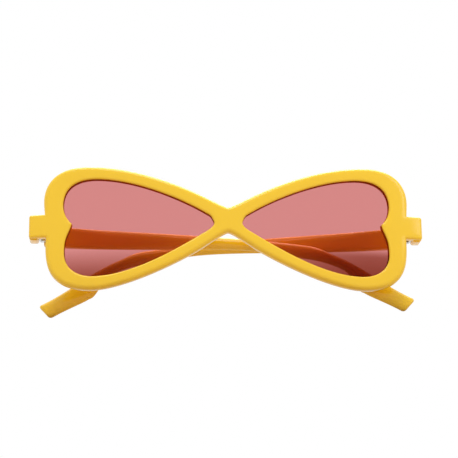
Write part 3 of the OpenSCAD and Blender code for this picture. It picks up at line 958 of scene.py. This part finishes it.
hinge_metal, tree = new_finish("hinge_metal")
where = add_node(tree, "ShaderNodeTexCoord")["Object"]
stretched = add_node(tree, "ShaderNodeMapping", Vector=where, Scale=brushed_along)[0]
brush = add_node(tree, "ShaderNodeTexNoise", Vector=stretched, Scale=brush_scale, Detail=4.0)[0]
bump = {"Height": brush, "Strength": brush_strength, "Distance": brush_depth * MM}
metal = add_node(
    tree,
    "ShaderNodeBsdfPrincipled",
    Base_Color=blend_colour(tree, brush, *leaf_shades),
    Metallic=1.0,
    Roughness=leaf_roughness + brush * leaf_unevenness,
    Normal=add_node(tree, "ShaderNodeBump", **bump)[0],
)[0]
show(tree, metal)
for name in ("right_front_leaf", "left_front_leaf", "right_temple_leaf", "left_temple_leaf"):
    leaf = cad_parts[name]
    leaf.data.materials.clear()
    leaf.data.materials.append(hinge_metal)

# Screws.
# Bright plated slotted screws: one down through the three knuckles of each hinge, and two small ones
# through each leaf into the plastic.
hinge_height = 6.2
leaf_thick = 0.8
leaf_gap = 0.15
front_leaf = 4.3
temple_leaf = 7.2
slot_width = 0.3
pivot_radius = 0.6
pivot_head_radius = 1.1
pivot_head_height = 0.5
fix_radius = 0.45
fix_length = 2.3
fix_head_radius = 0.85
fix_head_height = 0.35
front_fix_pitch = 3.4
temple_fix_pitch = 2.6
screw_sides = 32
tip_share = 0.8
bevel_share = 0.2
crown_steps = ((0.55, 1.0), (0.25, 0.93), (0.14, 0.86), (0.06, 0.8))
slot_over = 2.4
screw_shades = ((0.60, 0.60, 0.61), (0.72, 0.72, 0.73))
turning_scale = 1500.0
screw_roughness, screw_unevenness = 0.16, 0.12

screw_metal, tree = new_finish("screw_metal")
where = add_node(tree, "ShaderNodeTexCoord")["Object"]
turning = add_node(tree, "ShaderNodeTexNoise", Vector=where, Scale=turning_scale, Detail=3.0)[0]
bright = add_node(
    tree,
    "ShaderNodeBsdfPrincipled",
    Base_Color=blend_colour(tree, turning, *screw_shades),
    Metallic=1.0,
    Roughness=screw_roughness + turning * screw_unevenness,
)[0]
show(tree, bright)

screw_maker, size = new_maker(
    "slotted_screw", "Shank Radius", "Shank Length", "Head Radius", "Head Height", "Slot Width", "Slot Depth"
)
shank, length = size["Shank Radius"], size["Shank Length"]
head, height = size["Head Radius"], size["Head Height"]
filled = {"fill_type": "NGON"}
tip_radius = shank * tip_share
tip = add_node(screw_maker, "GeometryNodeMeshCircle", filled, Vertices=screw_sides, Radius=tip_radius)[0]
blank, top = tip, True
# How far each ring rises above the last, and how much wider it is, from the tip up to the crown.
profile = [
    (shank * bevel_share, 1 / tip_share),
    (length - shank * bevel_share, 1.0),
    (0.0, head / shank),
    *((height * rise, widen) for rise, widen in crown_steps),
]
for rise, widen in profile:
    raised = extrude(screw_maker, Mesh=blank, Selection=top, Offset_Scale=rise)
    top = raised["Top"]
    widened = {"Geometry": raised["Mesh"], "Selection": top, "Scale": widen}
    blank = add_node(screw_maker, "GeometryNodeScaleElements", **widened)[0]
under = add_node(screw_maker, "GeometryNodeFlipFaces", Mesh=tip)[0]
closed = joined(screw_maker, blank, under)
drop = vector(screw_maker, Z=length * -1.0)
seated = add_node(screw_maker, "GeometryNodeTransform", Geometry=closed, Translation=drop)[0]
slot_box = vector(screw_maker, X=head * slot_over, Y=size["Slot Width"], Z=size["Slot Depth"] * 2.0)
cutter = add_node(screw_maker, "GeometryNodeMeshCube", Size=slot_box)[0]
lift = vector(screw_maker, Z=height)
cutter = add_node(screw_maker, "GeometryNodeTransform", Geometry=cutter, Translation=lift)[0]
exact_cut = {"operation": "DIFFERENCE", "solver": "EXACT"}
slotted = add_node(screw_maker, "GeometryNodeMeshBoolean", exact_cut, Mesh_1=seated, Mesh_2=cutter)[0]
axis = add_node(screw_maker, "GeometryNodeInputNamedAttribute", {"data_type": "FLOAT_VECTOR"}, Name="axis")[0]
facing = add_node(screw_maker, "FunctionNodeAlignRotationToVector", {"axis": "Z"}, Vector=axis)[0]
seated_at = {"Points": size["Geometry"], "Instance": slotted, "Rotation": facing}
placed = add_node(screw_maker, "GeometryNodeInstanceOnPoints", **seated_at)[0]
end_maker(screw_maker, placed, size["Material"])


def make_screws(name, seats, body, nodes, sizes):
    """Screws on the given seats: where the head's underside sits and the way its slot looks, in mm."""
    thing = plain_mesh(name, np.array([place for place, _ in seats]) * MM, [])
    thing.data.attributes.new("axis", "FLOAT_VECTOR", "POINT").data.foreach_set(
        "vector", [float(c) for _, way in seats for c in way]
    )
    slot_depth = sizes["Head_Height"] / 2
    run_maker(thing, screw_maker, screw_metal, Slot_Width=slot_width, Slot_Depth=slot_depth, **sizes)
    smooth(thing, angle_deg=35.0)
    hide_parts(*nodes)
    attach(thing, body)


leaf_in = knuckle + knuckle_room - leaf_thick
front_fix_y = hinge_y - (knuckle + leaf_gap + front_leaf) / 2
pivot_sizes = {
    "Shank_Radius": pivot_radius,
    "Shank_Length": hinge_height,
    "Head_Radius": pivot_head_radius,
    "Head_Height": pivot_head_height,
}
fix_sizes = {
    "Shank_Radius": fix_radius,
    "Shank_Length": leaf_thick + fix_length,
    "Head_Radius": fix_head_radius,
    "Head_Height": fix_head_height,
}
make_screws(
    "hinge_screws",
    [((side * hinge_x, hinge_y, hinge_z + hinge_height / 2), (0, 0, 1)) for side in (-1, 1)],
    "front",
    ("right_hinge_screw", "left_hinge_screw"),
    pivot_sizes,
)
make_screws(
    "front_leaf_screws",
    [
        ((side * (hinge_x + leaf_in), front_fix_y, hinge_z + z), (-side, 0, 0))
        for side in (-1, 1)
        for z in (-front_fix_pitch / 2, front_fix_pitch / 2)
    ],
    "front",
    ("right_front_leaf_screws", "left_front_leaf_screws"),
    fix_sizes,
)
for side, word in ((-1, "right"), (1, "left")):
    far_screw = temple_leaf - fix_head_radius - leaf_gap
    seats = []
    for x in (far_screw, far_screw - temple_fix_pitch):
        place, outside = fold([(x, leaf_in, 0.0), (x, leaf_in - 1.0, 0.0)], side)
        seats.append((place, outside - place))
    nodes = (word + "_temple_leaf_screws",)
    make_screws(word + "_temple_screws", seats, word + "_temple", nodes, fix_sizes)
